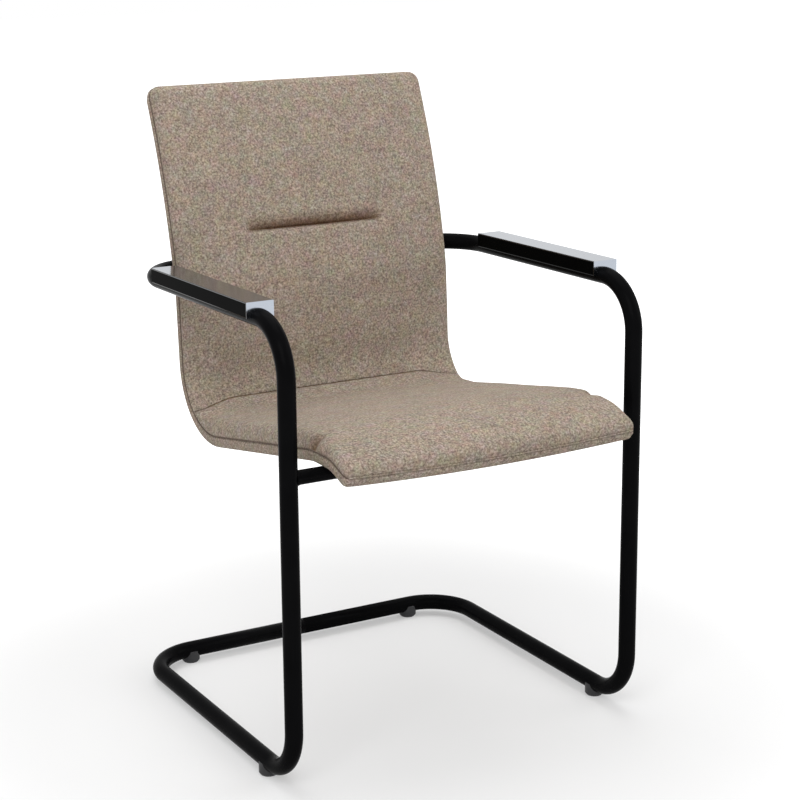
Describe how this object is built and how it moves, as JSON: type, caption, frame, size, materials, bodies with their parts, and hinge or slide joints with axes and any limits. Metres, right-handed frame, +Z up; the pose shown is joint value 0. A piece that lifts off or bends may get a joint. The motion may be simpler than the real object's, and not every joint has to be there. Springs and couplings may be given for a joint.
{
  "type": "visitor chair",
  "caption": "Sled base visitor chair with a black tube frame, an upholstered one-piece seat and back, and capped arm pads.",
  "frame": {"origin": "on the floor plane, under the middle of the chair's bounding box", "axes": "+Z up; the sitter faces -Y; +X is on the right of someone who stands in front and looks at the chair"},
  "size_m": [0.5898, 0.625, 0.9033],
  "materials": {
    "gloss_black_steel": "gloss",
    "black_nylon": "matte",
    "zinc_steel": "satin",
    "beech_plywood": "raw",
    "wool_melange": "woven",
    "gloss_black_pad": "gloss",
    "polished_metal": "polished",
    "brass": "machined"
  },
  "bodies": {
    "root": {"frame_tube_left": "gloss_black_steel", "frame_tube_right": "gloss_black_steel", "seat_crossbar": "gloss_black_steel", "seat_saddle_left": "black_nylon", "seat_saddle_right": "black_nylon", "back_saddle_left": "black_nylon", "back_saddle_right": "black_nylon", "seat_screws": "zinc_steel", "back_screws": "zinc_steel", "seat_tee_nuts": "zinc_steel", "back_tee_nuts": "zinc_steel", "shell_board": "beech_plywood", "rear_cover": "wool_melange", "back_cushion": "wool_melange", "seat_cushion": "wool_melange", "arm_pad_left": "gloss_black_pad", "arm_pad_right": "gloss_black_pad", "arm_trim_left": "polished_metal", "arm_trim_right": "polished_metal", "glides_front": "black_nylon", "glides_rear": "black_nylon", "arm_pad_screws": "zinc_steel", "arm_pad_inserts": "brass"}
  },
  "joints": []
}
